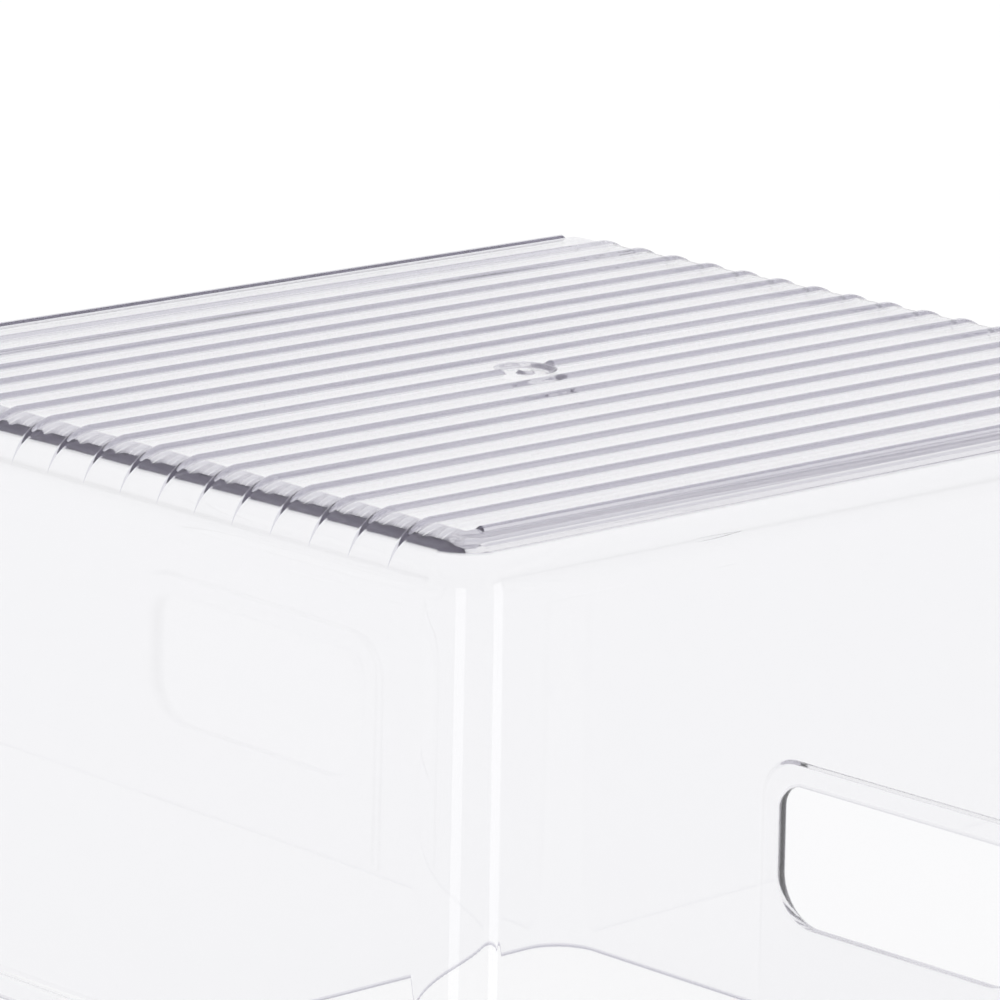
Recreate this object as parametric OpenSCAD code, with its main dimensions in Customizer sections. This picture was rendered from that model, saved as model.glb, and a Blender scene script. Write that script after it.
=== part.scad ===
/* [Bin] */
// Length across the handle walls, at the top of the walls
body_length = 210; // [160:1:320]
// Width across the plain walls, at the top of the walls
body_width = 194; // [194:0.5:198]
// Height from the rim to the flat of the base
body_height = 152.4; // [110:0.1:200]
// Thickness of the four walls
wall = 1.8; // [1.6:0.1:2.4]
// Thickness of the base
base = 2.5; // [2.4:0.1:3]
// Outer radius of the rounded base edges and of the upright corners
edge_radius = 10; // [9.5:0.5:12]
// Inner radius of the base edges
inner_radius = 4.4; // [4.2:0.1:6]
// Draft of the walls, which lean out towards the rim, in degrees
draft = 0.5; // [0.2:0.1:1]
// Rounding of the rim, inside and out
rim_rounding = 0.7; // [0.3:0.1:0.7]

/* [Base ribs] */
// How many ribs cross the base
rib_count = 19; // [3:2:19]
// Distance from one rib to the next
rib_pitch = 9.8; // [9:0.1:9.8]
// Width of a rib where it meets the base
rib_width = 3.2; // [1:0.1:4]
// Height of a rib above the base
rib_height = 0.75; // [0.3:0.05:0.9]
// Angle round the base edge at which a rib has faded away
rib_fade_angle = 70; // [50:1:75]
// Distance from the handle walls to the blunt ends of the two outer ribs
outer_rib_inset = 11.9; // [10.8:0.1:16]

/* [Gate mark] */
// Diameter of the round pocket in the middle of the base, where the moulding gate was
gate_diameter = 12; // [6:0.2:14]
// Depth of the pocket
gate_depth = 0.8; // [0.3:0.1:1.2]
// Diameter of the trimmed stub that stands in the pocket
stub_diameter = 3; // [1:0.1:5]
// Height of the stub above the pocket's floor
stub_height = 0.6; // [0.2:0.1:1]

/* [Grips] */
// Width of the raised grip pad around a finger slot
pad_width = 80.8; // [76:0.2:90]
// Height of the pad's top edge above the rim
pad_top = 53.8; // [52:0.2:70]
// Corner radius at the top of the pad
pad_corner = 10; // [8:0.1:14]
// How far the pad stands out from the wall's face
pad_depth = 0.8; // [0.4:0.1:2]
// Width of the sloping step around the pad
step_width = 1.6; // [1.2:0.1:4]
// Width of the finger slot
slot_width = 67.6; // [40:0.2:68]
// Height of the slot's lower edge above the rim
slot_bottom = 19.6; // [16:0.1:24]
// Height of the slot's upper edge above the rim
slot_top = 48.1; // [40:0.1:49]
// Corner radius at the top of the slot
slot_top_corner = 4.9; // [2:0.1:8]
// Corner radius at the bottom of the slot
slot_bottom_corner = 10; // [4:0.1:10]

/* [Hidden] */
$fn = 96;
axis_x = body_length / 2 - edge_radius;
axis_y = body_width / 2 - edge_radius;
axis_z = body_height - edge_radius;
base_under = body_height - base;
past = 5;
clear = "#dfe3ee";

// A rib's cross-section is the cap of a circle of this radius
rib_radius = (rib_width * rib_width / 4 + rib_height * rib_height) / (2 * rib_height);
// Radius that a rib's crest follows, so that it sinks into the rounded edge at the fade angle
crest = edge_radius + rib_height;
fade = edge_radius * cos(rib_fade_angle);
crest_radius = (edge_radius * edge_radius + crest * crest - 2 * crest * fade) / (2 * crest - 2 * fade);

rib_names = [for (i = [1:rib_count]) str("base_rib_", i < 10 ? "0" : "", i)];

// Distance of a drafted face from the corner axis at height z, set in from the outer face
function face_r(z, inset) = (edge_radius - inset) / cos(draft) + (axis_z - z) * tan(draft);

// Centre of the round that the inner face turns with into the underside of the base
inner_z = base_under - inner_radius;
inner_x = (edge_radius - wall - inner_radius - (inner_z - axis_z) * sin(draft)) / cos(draft);

// ---- Wall section: the corner axis is at x = 0, and y is the height above the rim ----

module quarter(radius) {
    intersection() {
        circle(radius);
        square(radius);
    }
}

// Where the drafted flat of a face meets its round
function tangent_point(centre, radius) = centre + radius * [cos(draft), sin(draft)];

// Everything inside the outer face
module outer_region() {
    polygon([[0, 0], [face_r(0, 0), 0], tangent_point([0, axis_z], edge_radius), [0, axis_z]]);
    translate([0, axis_z]) quarter(edge_radius);
}

// Everything inside the inner face
module inner_region() {
    polygon([
        [0, 0],
        [face_r(0, wall), 0],
        tangent_point([inner_x, inner_z], inner_radius),
        [inner_x, inner_z],
        [inner_x, base_under],
        [0, base_under]
    ]);
    translate([inner_x, inner_z]) quarter(inner_radius);
}

// The waste outside the rounding of the rim, on the outer side (1) or the inner side (-1)
module rim_waste(centre, side) {
    across = side * 2 * rim_rounding * [cos(draft), sin(draft)];
    difference() {
        polygon([
            centre,
            centre + across,
            [centre[0] + across[0], -past],
            [centre[0], -past]
        ]);
        translate(centre) circle(rim_rounding);
    }
}

// Wall with its base edge round above and its rounded rim below
module wall_section() {
    lean = rim_rounding / cos(draft);
    difference() {
        outer_region();
        inner_region();
        rim_waste([face_r(rim_rounding, 0) - lean, rim_rounding], 1);
        rim_waste([face_r(rim_rounding, wall) + lean, rim_rounding], -1);
    }
}

// ---- Walls, corners and base ----

// Straight wall of the given length on the +X side
module straight_wall(axis, length) {
    translate([axis, length / 2, 0])
        rotate([90, 0, 0])
            linear_extrude(length) wall_section();
}

module corner() {
    color(clear)
        translate([axis_x, axis_y, 0])
            rotate_extrude(angle = 90) wall_section();
}

module plain_wall() {
    color(clear)
        rotate([0, 0, 90]) straight_wall(axis_y, 2 * axis_x);
}

module base_panel() {
    color(clear)
        difference() {
            translate([-axis_x, -axis_y, base_under])
                cube([2 * axis_x, 2 * axis_y, base]);
            translate([0, 0, body_height - gate_depth])
                cylinder(d = gate_diameter, h = past);
        }
}

// ---- Ribs and gate ----

// Round bar along X whose crest is a rib's height above the base
module rib_bar(half_length) {
    translate([-half_length, 0, body_height + rib_height - rib_radius])
        rotate([0, 90, 0]) cylinder(r = rib_radius, h = 2 * half_length);
}

// Curved end of the bar, which follows the base edge down and sinks into it
module rib_claw() {
    translate([axis_x, 0, body_height + rib_height - crest_radius])
        rotate([90, 0, 0])
            rotate_extrude(angle = 90)
                translate([crest_radius - rib_radius, 0]) circle(rib_radius);
}

// Rib that runs over both rounded edges
module long_rib() {
    difference() {
        union() {
            rib_bar(axis_x);
            rib_claw();
            mirror([1, 0, 0]) rib_claw();
        }
        translate([-axis_x, -rib_width, axis_z - edge_radius])
            cube([2 * axis_x, 2 * rib_width, 2 * edge_radius]);
        for (side = [-1, 1])
            translate([side * axis_x, rib_width, axis_z])
                rotate([90, 0, 0]) cylinder(r = edge_radius, h = 2 * rib_width);
    }
}

// Rib on the start of a plain wall's round, with blunt ends short of the corners
module outer_rib(y) {
    half_length = body_length / 2 - outer_rib_inset;
    difference() {
        translate([0, y, 0]) rib_bar(half_length);
        translate([-axis_x, -axis_y, axis_z - edge_radius])
            cube([2 * axis_x, 2 * axis_y, 2 * edge_radius]);
        for (side = [-1, 1])
            translate([-axis_x, side * axis_y, axis_z])
                rotate([0, 90, 0]) cylinder(r = edge_radius, h = 2 * axis_x);
    }
}

module base_rib(i) {
    y = (i - (rib_count + 1) / 2) * rib_pitch;
    color(clear)
        if (abs(y) + rib_width > axis_y) {
            outer_rib(y);
        } else if (y == 0) {
            difference() {
                long_rib();
                translate([0, 0, body_height - past]) cylinder(d = gate_diameter, h = 2 * past);
            }
        } else {
            translate([0, y, 0]) long_rib();
        }
}

module gate_stub() {
    color(clear)
        translate([0, 0, body_height - gate_depth])
            cylinder(d = stub_diameter, h = stub_height);
}

// ---- Grips, drawn against an upright face at x = 0 that stands on z = 0 ----

// Leans a grip shape over with the draft and places it on the +X wall's outer face
module on_handle_wall() {
    translate([axis_x + face_r(0, 0), 0, 0]) rotate([0, -draft, 0]) children();
}

// Raised pad: its full outline on the wall's face, set in by the sloping step at its front
module pad_body() {
    corner_y = pad_width / 2 - pad_corner;
    corner_z = pad_top - pad_corner;
    front = pad_corner - step_width;
    slope = [[0, 0], [pad_corner, 0], [front, pad_depth], [0, pad_depth]];
    for (side = [0, 1])
        mirror([0, side, 0]) {
            // straight side, from the middle out
            translate([0, 0, rim_rounding])
                linear_extrude(corner_z - rim_rounding)
                    polygon([
                        [0, 0],
                        [0, corner_y + pad_corner],
                        [pad_depth, corner_y + front],
                        [pad_depth, 0]
                    ]);
            // top corner
            translate([0, corner_y, corner_z])
                rotate([0, 90, 0])
                    rotate([0, 0, 90]) rotate_extrude(angle = 90) polygon(slope);
        }
    // straight top
    translate([0, corner_y, corner_z])
        rotate([90, 0, 0])
            linear_extrude(2 * corner_y) polygon([for (p = slope) [p[1], p[0]]]);
}

// The waste outside one rounded corner of the slot
module slot_corner(side, up, edge, radius) {
    centre = [side * (slot_width / 2 - radius), edge - up * radius];
    difference() {
        translate([centre[0] - (side < 0 ? past + radius : 0), centre[1] - (up < 0 ? past + radius : 0)])
            square(past + radius);
        translate(centre) circle(radius);
    }
}

// Finger slot right through the wall and its pad
module slot() {
    translate([-past, 0, 0])
        rotate([90, 0, 90])
            linear_extrude(2 * past)
                difference() {
                    translate([-slot_width / 2, slot_bottom])
                        square([slot_width, slot_top - slot_bottom]);
                    for (side = [-1, 1]) {
                        slot_corner(side, -1, slot_bottom, slot_bottom_corner);
                        slot_corner(side, 1, slot_top, slot_top_corner);
                    }
                }
}

module handle_wall() {
    color(clear)
        difference() {
            straight_wall(axis_x, 2 * axis_y);
            on_handle_wall() slot();
        }
}

module grip_pad() {
    color(clear)
        on_handle_wall()
            difference() {
                pad_body();
                slot();
            }
}

// ---- What is drawn ----

base_panel();
for (i = [1:rib_count])
    base_rib(i);
gate_stub();
mirror([0, 1, 0]) plain_wall();  // wall_front
plain_wall();  // wall_back
mirror([1, 0, 0]) handle_wall();  // handle_wall_left
handle_wall();  // handle_wall_right
mirror([1, 0, 0]) grip_pad();  // grip_pad_left
grip_pad();  // grip_pad_right
mirror([1, 0, 0]) mirror([0, 1, 0]) corner();  // corner_front_left
mirror([0, 1, 0]) corner();  // corner_front_right
mirror([1, 0, 0]) corner();  // corner_back_left
corner();  // corner_back_right
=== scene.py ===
"""Clear plastic fridge bin, standing upside down on its rim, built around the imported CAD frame.

The real bin is one moulding, so its look is one closed skin of clear plastic: any face left inside the
plastic would show as a seam. Sizes are in metres and follow the CAD, except that the ribs have softer feet
and sink sooner on the rounded edges, the two outermost ribs are narrower, the pad's step and the slot's
edges are rounded, and a faint line goes round the walls.
"""

import math

import bmesh
import bpy
from mathutils import Matrix, Vector, geometry


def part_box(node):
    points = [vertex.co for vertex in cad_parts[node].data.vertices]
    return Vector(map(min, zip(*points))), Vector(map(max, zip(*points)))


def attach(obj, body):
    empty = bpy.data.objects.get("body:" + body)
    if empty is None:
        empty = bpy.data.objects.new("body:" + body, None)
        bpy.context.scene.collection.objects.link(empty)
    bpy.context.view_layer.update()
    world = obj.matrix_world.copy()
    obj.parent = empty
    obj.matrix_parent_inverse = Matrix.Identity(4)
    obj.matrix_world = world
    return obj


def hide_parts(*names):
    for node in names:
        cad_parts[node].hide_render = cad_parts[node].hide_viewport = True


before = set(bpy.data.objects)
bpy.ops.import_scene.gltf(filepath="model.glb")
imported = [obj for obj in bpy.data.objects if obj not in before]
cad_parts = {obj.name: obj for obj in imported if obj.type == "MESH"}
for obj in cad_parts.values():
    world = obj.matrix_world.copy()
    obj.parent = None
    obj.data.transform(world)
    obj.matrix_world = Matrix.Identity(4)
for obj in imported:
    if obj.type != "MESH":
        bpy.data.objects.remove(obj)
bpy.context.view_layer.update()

MM = 0.001

# ---- The bin's sizes ----
BASE_LOW, BASE_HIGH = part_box("base_panel")
AXIS_X = BASE_HIGH[0]  # corner axes, at the ends of the flat base
AXIS_Y = BASE_HIGH[1]
HEIGHT = BASE_HIGH[2]
BASE = BASE_HIGH[2] - BASE_LOW[2]
WALL = 1.8 * MM
EDGE_RADIUS = 10 * MM
INNER_RADIUS = 4.4 * MM
AXIS_Z = HEIGHT - EDGE_RADIUS
DRAFT = math.radians(0.5)
ROUND_END = math.pi / 2 - DRAFT  # angle round the base edge at which the drafted wall starts
RIM_ROUNDING = 0.7 * MM

RIB_COUNT = 19
RIB_PITCH = 9.8 * MM
RIB_WIDTH = 3.2 * MM
RIB_HEIGHT = 0.75 * MM
RIB_FADE = math.radians(71)  # angle down the rounded edge at which a rib ends
RIB_FOOT = 1.5  # above 1 the rib runs into the base with a soft foot
RIB_SINK = 1.7  # how fast a rib's height falls with its width
RIB_MIN_WIDTH = 0.03  # share of its width that a fading rib keeps
OUTER_RIB_SHARE = 0.75  # width of the two outer ribs against the others
OUTER_RIB_END = AXIS_X - 1.9 * MM
BLUNT = 0.35 * MM  # length over which a cut end of a rib falls off

GATE_RADIUS = 6 * MM
GATE_DEPTH = 0.8 * MM
STUB_RADIUS = 1.5 * MM
STUB_HEIGHT = 0.6 * MM
POCKET_SLOPE = 1.6 * MM  # width of the pocket's sloping side
STUB_SLOPE = 0.6 * MM
GATE_REACH = 1.5 * GATE_RADIUS  # nothing of the gate lies beyond this

PAD_HALF = 40.4 * MM
PAD_TOP = 53.8 * MM
PAD_CORNER = 10 * MM
PAD_DEPTH = 0.8 * MM
STEP = 1.6 * MM  # width of the slope at the pad's edge
SLOT_HALF = 33.8 * MM
SLOT_BOTTOM = 19.6 * MM
SLOT_TOP = 48.1 * MM
SLOT_TOP_CORNER = 4.9 * MM
SLOT_BOTTOM_CORNER = 10 * MM
SLOT_ROUNDING = 1.2 * MM

WITNESS_Z = HEIGHT - 11.6 * MM  # faint line that the mould leaves round the walls
WITNESS_DEPTH = 0.05 * MM
WITNESS_HALF = 0.25 * MM

TINY = 1e-6  # step over which slopes are measured


# ---- Camera ----
CAMERA_AT = Vector((-0.8040, -0.8494, 0.4005))
CAMERA_AZIMUTH = math.radians(43.222)
CAMERA_DOWN = math.radians(13.133)
CAMERA_ROLL = math.radians(1.173)
CAMERA_LENS = 235.33


def make_camera():
    data = bpy.data.cameras.new("camera")
    data.lens = CAMERA_LENS
    data.sensor_width = 36
    data.clip_end = 50
    camera = bpy.data.objects.new("camera", data)
    bpy.context.collection.objects.link(camera)
    level = Vector((math.cos(CAMERA_AZIMUTH), -math.sin(CAMERA_AZIMUTH), 0))
    forward = Vector((math.sin(CAMERA_AZIMUTH), math.cos(CAMERA_AZIMUTH), 0)) * math.cos(CAMERA_DOWN)
    forward.z = -math.sin(CAMERA_DOWN)
    above = level.cross(forward)
    right = level * math.cos(CAMERA_ROLL) + above * math.sin(CAMERA_ROLL)
    up = right.cross(forward)
    turned = Matrix((right, up, -forward)).transposed()
    camera.matrix_world = Matrix.Translation(CAMERA_AT) @ turned.to_4x4()
    bpy.context.scene.camera = camera


make_camera()


# ---- Shape of the outer skin ----
def face_r(z, inset):
    """Distance of a drafted face from the corner axis at height z."""
    return (EDGE_RADIUS - inset) / math.cos(DRAFT) + (AXIS_Z - z) * math.tan(DRAFT)


INNER_Z = HEIGHT - BASE - INNER_RADIUS  # centre of the inner round of the base edge
INNER_R = (EDGE_RADIUS - WALL - INNER_RADIUS - (INNER_Z - AXIS_Z) * math.sin(DRAFT)) / math.cos(DRAFT)


def smooth_step(t):
    t = min(max(t, 0.0), 1.0)
    return t * t * (3 - 2 * t)


def rib_share(theta):
    """Share of its width that a rib keeps as it runs down the rounded edge."""
    return max(1 - theta / RIB_FADE, 0.0)


def crest_height(theta):
    return RIB_HEIGHT * rib_share(theta) ** RIB_SINK


def rib_half_width(theta):
    return RIB_WIDTH / 2 * max(rib_share(theta), RIB_MIN_WIDTH)


def rib_centre(index):
    return (index - (RIB_COUNT - 1) / 2) * RIB_PITCH


def gate_relief(radius):
    """Round pocket with a stub in its middle."""
    pocket = -GATE_DEPTH * smooth_step((GATE_RADIUS - radius) / POCKET_SLOPE)
    stub = STUB_HEIGHT * smooth_step((STUB_RADIUS - radius) / STUB_SLOPE + 0.5)
    return pocket + stub


def relief(u, x, theta):
    """Height of the ribs and the gate above the plain skin, u across the ribs."""
    index = min(max(round(u / RIB_PITCH + (RIB_COUNT - 1) / 2), 0), RIB_COUNT - 1)
    outermost = index in (0, RIB_COUNT - 1)
    share = OUTER_RIB_SHARE if outermost else 1
    across = (u - rib_centre(index)) / (rib_half_width(theta) * share)
    height = 0.0
    if abs(across) < 1:
        height = crest_height(theta) * (1 - across * across) ** RIB_FOOT
    if outermost:
        height *= smooth_step((OUTER_RIB_END - abs(x)) / BLUNT) if theta == 0 else 0
    radius = math.hypot(x, u)
    if theta == 0 and radius < GATE_REACH:
        height *= smooth_step((radius - GATE_RADIUS) / BLUNT)
        height += gate_relief(radius)
    return height


def on_relief(point, normal, along_u, along_s, u, x, theta):
    """Point and normal of the skin with the relief on it, and its share of the painted shade tint that
    darkens the ribs.
    """
    tiny = 2 * TINY
    height = relief(u, x, theta)
    slope_u = (relief(u + tiny, x, theta) - relief(u - tiny, x, theta)) / (2 * tiny)
    if theta == 0:
        slope_s = (relief(u, x + tiny, 0) - relief(u, x - tiny, 0)) / (2 * tiny)
    else:
        turn = tiny / EDGE_RADIUS
        slope_s = (relief(u, x, theta + turn) - relief(u, x, max(theta - turn, turn / 2))) / (2 * tiny)
    shaded = normal - along_u * slope_u - along_s * (slope_s / (1 + height / EDGE_RADIUS))
    # Painted shade: the darker tint follows the rib's height, standing in for the dark lines that light
    # bent by the ribs shows.
    painted_shade = smooth_step(3 * height / crest_height(theta)) if theta < RIB_FADE else 0.0
    return point + normal * height, shaded.normalized(), painted_shade


def witness(z):
    """Depth and slope of the mould's witness line at height z."""
    t = (z - WITNESS_Z) / WITNESS_HALF
    if abs(t) >= 1:
        return 0.0, 0.0
    depth = WITNESS_DEPTH * (1 - t * t) ** 2
    return depth, -4 * WITNESS_DEPTH * t * (1 - t * t) / WITNESS_HALF


def pad_relief(y, z):
    """How far the grip pad stands out from a handle wall."""
    over_y = abs(y) - (PAD_HALF - PAD_CORNER)
    over_z = z - (PAD_TOP - PAD_CORNER)
    if over_z < 0:
        inside = PAD_HALF - abs(y)
    elif over_y < 0:
        inside = PAD_TOP - z
    else:
        inside = PAD_CORNER - math.hypot(over_y, over_z)
    return PAD_DEPTH * smooth_step(inside / STEP)


# ---- Sample lists: neighbouring patches share them, so their borders meet point for point ----
def spread(low, high, count):
    return [low + (high - low) * i / (count - 1) for i in range(count)]


SAME = 0.02 * MM  # a column this near to AXIS_Y is taken as the one at AXIS_Y
GATE_REGION = 7 * MM
RIB_SAMPLES = spread(-1, 1, 15)
OUTER_RIB = [rib_centre(RIB_COUNT - 1) + v * RIB_WIDTH / 2 for v in RIB_SAMPLES]
THETAS = [0.0]
THETAS += [(u - AXIS_Y) / EDGE_RADIUS for u in OUTER_RIB if u > AXIS_Y + SAME]
THETAS += spread(THETAS[-1], ROUND_END, 26)[1:]
PSIS = spread(0, math.pi / 2, 25)
GATE_SAMPLES = spread(-GATE_REGION, GATE_REGION, 57)
FLAT_STOPS = [30 * MM, 60 * MM, AXIS_X]
BLUNT_SAMPLES = [OUTER_RIB_END - t * BLUNT for t in (1.4, 1, 0.8, 0.6, 0.4, 0.2, 0, -0.4)]
FLAT_XS = sorted(
    GATE_SAMPLES
    + [side * x for side in (-1, 1) for x in BLUNT_SAMPLES + FLAT_STOPS]
)
WITNESS_ZS = [WITNESS_Z + t * WITNESS_HALF for t in (1, 0.6, 0.3, 0, -0.3, -0.6, -1)]


def column_list():
    """Columns across the base: (rib centre, share of its half width), or (y, None) for a plain one."""
    columns = [(-AXIS_Y, None), (AXIS_Y, None)]
    for side in (-1, 1):
        columns += [(side * u, None) for u in OUTER_RIB if u < AXIS_Y - SAME]
    for index in range(1, RIB_COUNT - 1):
        columns += [(rib_centre(index), v) for v in RIB_SAMPLES]
    columns += [(y, None) for y in GATE_SAMPLES if abs(y) > RIB_WIDTH / 2]
    return columns


COLUMNS = column_list()


def column_ys(theta):
    half = rib_half_width(theta)
    return sorted(y if v is None else y + v * half for y, v in COLUMNS)


# ---- Skin: patches of points with their true normals, joined into one closed mesh ----
class Skin:
    def __init__(self):
        self.mesh = bmesh.new()
        self.normal = self.mesh.verts.layers.float_vector.new("true_normal")
        self.painted_shade = self.mesh.verts.layers.float.new("painted_shade")

    def point(self, place, normal, painted_shade=0.0):
        vert = self.mesh.verts.new(place)
        vert[self.normal] = normal
        vert[self.painted_shade] = painted_shade
        return vert

    def grid(self, rows):
        verts = [[self.point(*p) for p in row] for row in rows]
        for low, high in zip(verts, verts[1:]):
            for i in range(len(low) - 1):
                self.mesh.faces.new((low[i], low[i + 1], high[i + 1], high[i]))

    def triangles(self, points, faces):
        verts = [self.point(*p) for p in points]
        for face in faces:
            self.mesh.faces.new([verts[i] for i in face])

    def finish(self, name):
        bmesh.ops.remove_doubles(self.mesh, verts=self.mesh.verts, dist=1e-6)
        bmesh.ops.recalc_face_normals(self.mesh, faces=self.mesh.faces)
        open_edges = sum(not edge.is_manifold for edge in self.mesh.edges)
        if open_edges:
            raise RuntimeError(f"{name} has {open_edges} open edges")
        data = bpy.data.meshes.new(name)
        normals = [vert[self.normal].copy() for vert in self.mesh.verts]
        self.mesh.to_mesh(data)
        self.mesh.free()
        data.attributes.remove(data.attributes["true_normal"])
        data.shade_smooth()
        data.normals_split_custom_set_from_vertices(normals)
        piece = bpy.data.objects.new(name, data)
        bpy.context.collection.objects.link(piece)
        return piece


def outer_strip(skin):
    """Base and both rounded edges over the handle walls, from wall to wall along X, with the ribs."""
    stations = [(-1, None, theta) for theta in reversed(THETAS[1:])]
    stations += [(0, x, 0.0) for x in FLAT_XS]
    stations += [(1, None, theta) for theta in THETAS[1:]]
    rows = []
    for side, x, theta in stations:
        row = []
        for y in column_ys(theta):
            if side == 0:
                point, normal, along = Vector((x, y, HEIGHT)), Vector((0, 0, 1)), Vector((1, 0, 0))
            else:
                sin, cos = math.sin(theta), math.cos(theta)
                x = side * (AXIS_X + EDGE_RADIUS * sin)
                point = Vector((x, y, AXIS_Z + EDGE_RADIUS * cos))
                normal = Vector((side * sin, 0, cos))
                along = Vector((side * cos, 0, -sin))
            row.append(on_relief(point, normal, Vector((0, 1, 0)), along, y, x, theta))
        rows.append(row)
    skin.grid(rows)


def outer_side_round(skin, side):
    """Rounded edge over a plain wall, with the outer rib on its start."""
    rows = []
    for x in FLAT_XS:
        row = []
        for theta in THETAS:
            sin, cos = math.sin(theta), math.cos(theta)
            point = Vector((x, side * (AXIS_Y + EDGE_RADIUS * sin), AXIS_Z + EDGE_RADIUS * cos))
            normal = Vector((0, side * sin, cos))
            along_u = Vector((0, side * cos, -sin))
            u = AXIS_Y + EDGE_RADIUS * theta
            row.append(on_relief(point, normal, along_u, Vector((1, 0, 0)), u, x, 0.0))
        rows.append(row)
    skin.grid(rows)


def wall_point(place, z, inset, facing):
    """A drafted wall's point and normal; place turns a distance from the axis into x and y."""
    depth, slope = witness(z) if inset == 0 else (0.0, 0.0)
    r = face_r(z, inset) - depth
    x, y, out_x, out_y = place(r)
    cos, sin = math.cos(DRAFT), math.sin(DRAFT) + slope
    return Vector((x, y, z)), (Vector((out_x * cos, out_y * cos, sin)) * facing).normalized()


def wall_heights(inset):
    top = AXIS_Z + EDGE_RADIUS * math.sin(DRAFT)
    if inset > 0:
        top = INNER_Z + INNER_RADIUS * math.sin(DRAFT)
    lean = math.sin(DRAFT) * (1 if inset == 0 else -1)
    foot = RIM_ROUNDING * (1 + lean)
    return [top] + (WITNESS_ZS if inset == 0 else []) + [foot]


def plain_place(side, x):
    return lambda r: (x, side * (AXIS_Y + r), 0, side)


def corner_place(side_x, side_y, psi):
    cos, sin = math.cos(psi), math.sin(psi)
    return lambda r: (
        side_x * (AXIS_X + r * cos),
        side_y * (AXIS_Y + r * sin),
        side_x * cos,
        side_y * sin,
    )


def handle_place(side, y):
    return lambda r: (side * (AXIS_X + r), y, side, 0)


def flat_wall(skin, places, inset):
    facing = 1 if inset == 0 else -1
    skin.grid([[wall_point(place, z, inset, facing) for z in wall_heights(inset)] for place in places])


def corner_round(skin, side_x, side_y):
    """Ball-shaped corner between the base and two walls."""
    centre = Vector((side_x * AXIS_X, side_y * AXIS_Y, AXIS_Z))
    rows = []
    for theta in THETAS:
        row = []
        for psi in PSIS:
            out = Vector((
                side_x * math.sin(theta) * math.cos(psi),
                side_y * math.sin(theta) * math.sin(psi),
                math.cos(theta),
            ))
            row.append((centre + out * EDGE_RADIUS, out))
        rows.append(row)
    skin.grid(rows)


# ---- Inner skin ----
INNER_YS = spread(-AXIS_Y, AXIS_Y, 9)
INNER_PROFILE = [(0.0, HEIGHT - BASE, 0.0, 1.0)] + [
    (INNER_R + INNER_RADIUS * math.sin(a), INNER_Z + INNER_RADIUS * math.cos(a), math.sin(a), math.cos(a))
    for a in spread(0, ROUND_END, 25)
]


def inner_base(skin):
    skin.grid([
        [(Vector((x, y, HEIGHT - BASE)), Vector((0, 0, -1))) for y in INNER_YS] for x in FLAT_XS
    ])


def inner_round(skin, places):
    """Inner round between the base and a wall or corner."""
    rows = []
    for place in places:
        row = []
        for r, z, normal_r, normal_z in INNER_PROFILE:
            x, y, out_x, out_y = place(r)
            normal = Vector((-out_x * normal_r, -out_y * normal_r, -normal_z))
            row.append((Vector((x, y, z)), normal))
        rows.append(row)
    skin.grid(rows)


# ---- Rim ----
# Below this height the rim gets the painted shade tint.
PAINTED_SHADE_BELOW = 0.9 * RIM_ROUNDING  # clear of the points that the rim shares with the walls


def rim_profile(extra):
    """Points across the rounded rim from the outer face to the inner.

    Each is (distance from the corner axis, z, normal along that distance, normal along z).
    """
    lean = RIM_ROUNDING / math.cos(DRAFT)
    outer = face_r(RIM_ROUNDING, 0) + extra - lean
    inner = face_r(RIM_ROUNDING, WALL) + lean
    points = []
    for centre, start, end in ((outer, DRAFT, -math.pi / 2), (inner, -math.pi / 2, DRAFT - math.pi)):
        for angle in spread(start, end, 9):
            cos, sin = math.cos(angle), math.sin(angle)
            points.append((centre + RIM_ROUNDING * cos, RIM_ROUNDING * (1 + sin), cos, sin))
    return points


def rim(skin, places, extras):
    rows = []
    for place, extra in zip(places, extras):
        row = []
        for r, z, normal_r, normal_z in rim_profile(extra):
            x, y, out_x, out_y = place(r)
            normal = Vector((out_x * normal_r, out_y * normal_r, normal_z))
            # Painted shade: the rim's foot gets the darker tint, standing in for the shade along its edge
            # on the table.
            row.append((Vector((x, y, z)), normal, 1.0 if z < PAINTED_SHADE_BELOW else 0.0))
        rows.append(row)
    skin.grid(rows)


# ---- Handle walls, with the grip pad and the finger slot ----
SLOT_SPACING = 4 * MM  # between points on the straight parts of the slot
FOOT_MARGIN = 8 * MM
WALL_YS = spread(-AXIS_Y, AXIS_Y, 7)
FREE_ZS = (90 * MM, 120 * MM)  # rows of loose points that keep the plain part's triangles short


def slot_outline():
    """Points round the slot with their outward normals, in (y, z)."""
    corners = [
        (1, -1, SLOT_BOTTOM, SLOT_BOTTOM_CORNER, -math.pi / 2),
        (1, 1, SLOT_TOP, SLOT_TOP_CORNER, 0),
        (-1, 1, SLOT_TOP, SLOT_TOP_CORNER, math.pi / 2),
        (-1, -1, SLOT_BOTTOM, SLOT_BOTTOM_CORNER, math.pi),
    ]
    points = []
    for side, up, edge, radius, start in corners:
        centre = Vector((side * (SLOT_HALF - radius), edge - up * radius))
        for angle in spread(start, start + math.pi / 2, 17):
            out = Vector((math.cos(angle), math.sin(angle)))
            points.append((centre + out * radius, out))
    filled = []
    for (a, out_a), (b, out_b) in zip(points, points[1:] + points[:1]):
        filled.append((a, out_a))
        parts = round((b - a).length / SLOT_SPACING)
        for i in range(1, parts):
            filled.append((a.lerp(b, i / parts), out_a))
    return filled


SLOT = slot_outline()


def pad_loop(inside):
    """U-shaped line round the pad, this far inside its outline, from foot to foot."""
    radius = PAD_CORNER - inside
    centre_y, centre_z = PAD_HALF - PAD_CORNER, PAD_TOP - PAD_CORNER
    half = [(PAD_HALF - inside, z) for z in spread(0, centre_z, 9)[1:-1]]
    half += [
        (centre_y + radius * math.cos(a), centre_z + radius * math.sin(a))
        for a in spread(0, math.pi / 2, 13)
    ]
    half += [(y, PAD_TOP - inside) for y in spread(centre_y, 0, 8)[1:]]
    return half + [(-y, z) for y, z in reversed(half[:-1])]


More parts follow.
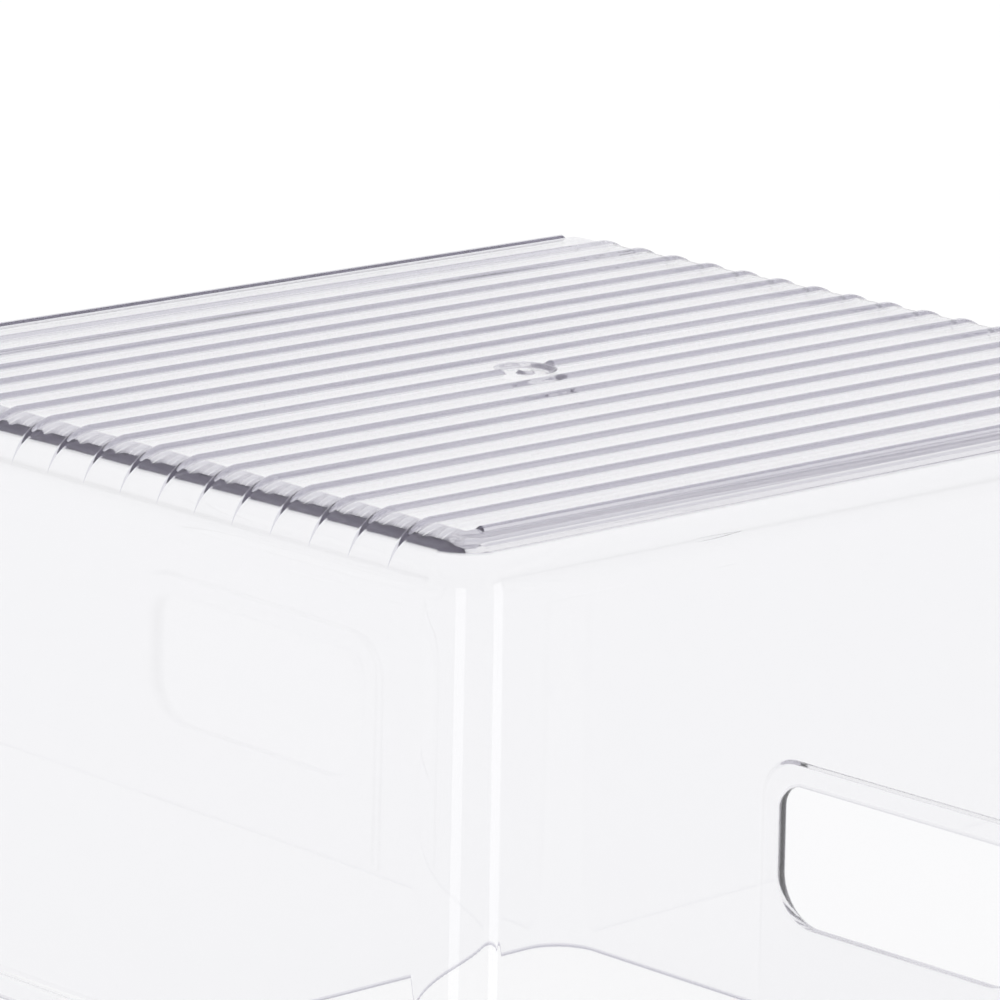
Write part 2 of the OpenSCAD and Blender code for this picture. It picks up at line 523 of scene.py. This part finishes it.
PAD_INSIDES = spread(0, STEP, 9)
FOOT_YS = sorted(
    INNER_YS[:3]
    + INNER_YS[-3:]
    + spread(-PAD_HALF + STEP + FOOT_MARGIN, PAD_HALF - STEP - FOOT_MARGIN, 7)
    + [side * (PAD_HALF - inside) for side in (-1, 1) for inside in PAD_INSIDES]
)


def handle_face(skin, side, inset, top_ys):
    """Flat of a handle wall, outer or inner, triangulated round the slot and the pad's step."""
    heights = wall_heights(inset)
    top, foot = heights[0], heights[-1]
    border = [(y, foot) for y in FOOT_YS]
    border += [(AXIS_Y, z) for z in reversed(heights[1:-1])]
    border += [(y, top) for y in reversed(top_ys)]
    border += [(-AXIS_Y, z) for z in heights[1:-1]]
    hole = [point + out * SLOT_ROUNDING for point, out in SLOT]
    lines = [border + border[:1], [tuple(p) for p in hole] + [tuple(hole[0])]]
    if inset == 0:
        lines += [
            [(inside - PAD_HALF, foot)] + pad_loop(inside)[::-1] + [(PAD_HALF - inside, foot)]
            for inside in PAD_INSIDES
        ]
        lines += [[(y, z) for y in WALL_YS] for z in heights[1:-1]]
    lines.append([(y, z) for y in WALL_YS[1:-1] for z in FREE_ZS])
    coords, edges = [], []
    for number, line in enumerate(lines):
        start = len(coords)
        coords += [Vector(p) for p in line]
        if number < len(lines) - 1:
            edges += [(start + i, start + i + 1) for i in range(len(line) - 1)]
    found, _, faces, *_ = geometry.delaunay_2d_cdt(coords, edges, [], 0, 1e-7)
    facing = 1 if inset == 0 else -1
    points = []
    for y, z in found:
        point, normal = wall_point(handle_place(side, y), z, inset, facing)
        if inset == 0:
            point.x += side * pad_relief(y, z)
            normal.y -= (pad_relief(y + TINY, z) - pad_relief(y - TINY, z)) / (2 * TINY)
            normal.z -= (pad_relief(y, z + TINY) - pad_relief(y, z - TINY)) / (2 * TINY)
            normal.normalize()
        points.append((point, normal))
    kept = [face for face in faces if not in_slot(sum((found[i] for i in face), Vector((0, 0))) / 3)]
    used = sorted({i for face in kept for i in face})
    index = {old: new for new, old in enumerate(used)}
    skin.triangles([points[i] for i in used], [[index[i] for i in face] for face in kept])


def in_slot(place):
    """Whether a point of the wall's face is within the slot and its rounded edge."""
    y, z = abs(place.x), place.y
    low = z < (SLOT_BOTTOM + SLOT_TOP) / 2
    radius = SLOT_BOTTOM_CORNER if low else SLOT_TOP_CORNER
    over_y = y - (SLOT_HALF - radius)
    over_z = SLOT_BOTTOM + radius - z if low else z - (SLOT_TOP - radius)
    if over_y > 0 and over_z > 0:
        return math.hypot(over_y, over_z) < radius + SLOT_ROUNDING
    return over_y < radius + SLOT_ROUNDING and over_z < radius + SLOT_ROUNDING


def slot_edge(skin, side):
    """Rounded edges and inside wall of the finger slot."""
    angles = spread(0, math.pi / 2, 9)
    rows = []
    for inset, turns in ((0, angles), (WALL, angles[::-1])):
        facing = 1 if inset == 0 else -1
        for angle in turns:
            row = []
            for flat, out in SLOT + SLOT[:1]:
                y, z = flat + out * SLOT_ROUNDING * (1 - math.sin(angle))
                point, normal = wall_point(handle_place(side, y), z, inset, facing)
                if inset == 0:
                    point.x += side * PAD_DEPTH
                point.x -= side * facing * SLOT_ROUNDING * (1 - math.cos(angle))
                inward = Vector((0, -out.x, -out.y))
                row.append((point, normal * math.cos(angle) + inward * math.sin(angle)))
            rows.append(row)
    skin.grid(rows)


def build_bin():
    skin = Skin()
    outer_strip(skin)
    inner_base(skin)
    for side in (-1, 1):
        outer_side_round(skin, side)
        places = [plain_place(side, x) for x in FLAT_XS]
        inner_round(skin, places)
        flat_wall(skin, places, 0)
        flat_wall(skin, places, WALL)
        rim(skin, places, [0] * len(places))
        handle_face(skin, side, 0, column_ys(ROUND_END))
        handle_face(skin, side, WALL, INNER_YS)
        inner_round(skin, [handle_place(side, y) for y in INNER_YS])
        slot_edge(skin, side)
        rim(skin, [handle_place(side, y) for y in FOOT_YS], [pad_relief(y, 0) for y in FOOT_YS])
        for side_y in (-1, 1):
            places = [corner_place(side, side_y, psi) for psi in PSIS]
            corner_round(skin, side, side_y)
            inner_round(skin, places)
            flat_wall(skin, places, 0)
            flat_wall(skin, places, WALL)
            rim(skin, places, [0] * len(places))
    return skin.finish("bin_moulding")


# ---- Materials ----
def new_material(name):
    material = bpy.data.materials.new(name)
    material.use_nodes = True
    nodes = material.node_tree.nodes
    return material, nodes, material.node_tree.links, nodes["Principled BSDF"]


ABSORB_COLOR = (0.5, 0.475, 0.56, 1)
ABSORB_DENSITY = 12.0
PLAIN_TINT = (0.955, 0.955, 0.963, 1)
# Painted shade: a darker lavender colour put on the ribs and the rim's foot in place of the dark lines
# that bent light shows there.
PAINTED_SHADE_TINT = (0.62, 0.61, 0.68, 1)


def clear_plastic():
    """Clear styrene: blue-violet in depth, with painted shade darkening the ribs and the rim's foot, with
    waves and rubbed parts.
    """
    material, nodes, links, shader = new_material("clear_plastic")
    shader.inputs["Transmission Weight"].default_value = 1
    shader.inputs["IOR"].default_value = 1.5
    shader.inputs["Specular IOR Level"].default_value = 0.5

    depth = nodes.new("ShaderNodeVolumeAbsorption")
    depth.inputs["Color"].default_value = ABSORB_COLOR
    depth.inputs["Density"].default_value = ABSORB_DENSITY
    links.new(depth.outputs["Volume"], nodes["Material Output"].inputs["Volume"])

    # Painted shade: the mesh's painted_shade attribute mixes the darker tint into the base colour.
    painted_shade = nodes.new("ShaderNodeAttribute")
    painted_shade.attribute_name = "painted_shade"
    tint = nodes.new("ShaderNodeMix")
    tint.data_type = "RGBA"
    tint.inputs["A"].default_value = PLAIN_TINT
    tint.inputs["B"].default_value = PAINTED_SHADE_TINT
    links.new(painted_shade.outputs["Fac"], tint.inputs["Factor"])
    links.new(tint.outputs["Result"], shader.inputs["Base Color"])

    place = nodes.new("ShaderNodeTexCoord")
    rubbed = nodes.new("ShaderNodeTexNoise")
    rubbed.inputs["Scale"].default_value = 24
    rubbed.inputs["Detail"].default_value = 5
    rough = nodes.new("ShaderNodeMapRange")
    rough.inputs["From Min"].default_value = 0.35
    rough.inputs["From Max"].default_value = 0.75
    rough.inputs["To Min"].default_value = 0.01
    rough.inputs["To Max"].default_value = 0.03
    links.new(place.outputs["Object"], rubbed.inputs["Vector"])
    links.new(rubbed.outputs["Fac"], rough.inputs["Value"])
    links.new(rough.outputs["Result"], shader.inputs["Roughness"])

    flow = nodes.new("ShaderNodeTexNoise")
    flow.inputs["Scale"].default_value = 9
    flow.inputs["Detail"].default_value = 2
    bump = nodes.new("ShaderNodeBump")
    bump.inputs["Strength"].default_value = 0.25
    bump.inputs["Distance"].default_value = 0.0004
    links.new(place.outputs["Object"], flow.inputs["Vector"])
    links.new(flow.outputs["Fac"], bump.inputs["Height"])
    links.new(bump.outputs["Normal"], shader.inputs["Normal"])
    return material


# ---- Studio ----
FLOOR_HALF = 8.0
# Sky brightness by the sine of the elevation.
SKY = [
    (0.0, (0.95, 0.95, 0.96, 1)),
    (0.25, (0.95, 0.95, 0.96, 1)),
    (0.32, (0.86, 0.86, 0.87, 1)),
    (0.45, (0.92, 0.92, 0.93, 1)),
    (1.0, (0.9, 0.9, 0.9, 1)),
]
# Azimuth from +Y towards +X, elevation, inner and outer half angle in degrees, and colour.
PATCHES = [
    (100, 4, 14, 26, (0.25, 0.25, 0.27, 1)),
    (40, 24, 5, 11, (0.8, 0.8, 0.83, 1)),
    (10, 36, 6, 12, (0.55, 0.55, 0.57, 1)),
]
# Azimuth, counted in the same way, and width of the strip lights that stand beside the near corner.
SOFTBOXES = [(230, 0.065), (157, 0.07)]
SOFTBOX_DISTANCE = 0.2
SOFTBOX_HEIGHT = 0.2
SOFTBOX_STRENGTH = 2.4
LIGHT_BOUNCES = 64  # light crosses many faces of clear plastic before it leaves


def direction(azimuth, elevation):
    """Unit vector of a direction given in degrees."""
    turn, lift = math.radians(azimuth), math.radians(elevation)
    return Vector((math.cos(lift) * math.sin(turn), math.cos(lift) * math.cos(turn), math.sin(lift)))


def studio_white():
    """Light table: pale, and lit a little from within, so that the bin's shade on it stays faint."""
    material, _, _, shader = new_material("studio_white")
    shader.inputs["Base Color"].default_value = (0.06, 0.06, 0.06, 1)
    shader.inputs["Roughness"].default_value = 0.8
    shader.inputs["Specular IOR Level"].default_value = 0.1
    shader.inputs["Emission Color"].default_value = (1, 1, 1, 1)
    shader.inputs["Emission Strength"].default_value = 0.95
    return material


def make_floor():
    data = bpy.data.meshes.new("floor")
    corners = [(-1, -1), (1, -1), (1, 1), (-1, 1)]
    data.from_pydata([(x * FLOOR_HALF, y * FLOOR_HALF, 0) for x, y in corners], [], [(0, 1, 2, 3)])
    floor = bpy.data.objects.new("floor", data)
    floor.data.materials.append(studio_white())
    bpy.context.collection.objects.link(floor)


def make_softboxes():
    """Two low strip lights, seen only as reflections: upright highlights on the near corner."""
    material, _, _, shader = new_material("softbox_white")
    shader.inputs["Base Color"].default_value = (0, 0, 0, 1)
    shader.inputs["Specular IOR Level"].default_value = 0
    shader.inputs["Emission Color"].default_value = (1, 1, 1, 1)
    shader.inputs["Emission Strength"].default_value = SOFTBOX_STRENGTH
    for azimuth, width in SOFTBOXES:
        away = direction(azimuth, 0)
        across = away.cross(Vector((0, 0, 1))) * width / 2
        foot = Vector((-AXIS_X, -AXIS_Y, 0)) + away * SOFTBOX_DISTANCE
        head = foot + Vector((0, 0, SOFTBOX_HEIGHT))
        data = bpy.data.meshes.new("softbox")
        data.from_pydata([foot - across, foot + across, head + across, head - across], [], [(0, 1, 2, 3)])
        softbox = bpy.data.objects.new("softbox", data)
        softbox.visible_camera = False
        softbox.visible_shadow = False
        softbox.visible_transmission = False
        softbox.data.materials.append(material)
        bpy.context.collection.objects.link(softbox)


def make_world():
    """Photo studio: white all round, with softer and darker parts that the clear plastic picks up."""
    world = bpy.data.worlds.new("studio")
    bpy.context.scene.world = world
    world.use_nodes = True
    nodes, links = world.node_tree.nodes, world.node_tree.links
    place = nodes.new("ShaderNodeTexCoord")
    split = nodes.new("ShaderNodeSeparateXYZ")
    ramp = nodes.new("ShaderNodeValToRGB")
    links.new(place.outputs["Generated"], split.inputs[0])
    links.new(split.outputs["Z"], ramp.inputs["Fac"])
    stops = ramp.color_ramp.elements
    stops[0].position, stops[0].color = SKY[0]
    stops[1].position, stops[1].color = SKY[-1]
    for position, color in SKY[1:-1]:
        stops.new(position).color = color
    light = ramp.outputs["Color"]
    for azimuth, elevation, inner, outer, color in PATCHES:
        aim = nodes.new("ShaderNodeVectorMath")
        aim.operation = "DOT_PRODUCT"
        aim.inputs[1].default_value = direction(azimuth, elevation)
        reach = nodes.new("ShaderNodeMapRange")
        reach.interpolation_type = "SMOOTHSTEP"
        reach.inputs["From Min"].default_value = math.cos(math.radians(outer))
        reach.inputs["From Max"].default_value = math.cos(math.radians(inner))
        mix = nodes.new("ShaderNodeMix")
        mix.data_type = "RGBA"
        mix.inputs["B"].default_value = color
        links.new(place.outputs["Generated"], aim.inputs[0])
        links.new(aim.outputs["Value"], reach.inputs["Value"])
        links.new(reach.outputs["Result"], mix.inputs["Factor"])
        links.new(light, mix.inputs["A"])
        light = mix.outputs["Result"]
    links.new(light, nodes["Background"].inputs["Color"])
    bpy.context.scene.view_settings.view_transform = "Standard"


light_path = bpy.context.scene.cycles
light_path.max_bounces = LIGHT_BOUNCES
light_path.transmission_bounces = LIGHT_BOUNCES
light_path.glossy_bounces = LIGHT_BOUNCES

moulding = build_bin()
moulding.data.materials.append(clear_plastic())
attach(moulding, "root")
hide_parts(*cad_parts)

make_floor()
make_softboxes()
make_world()
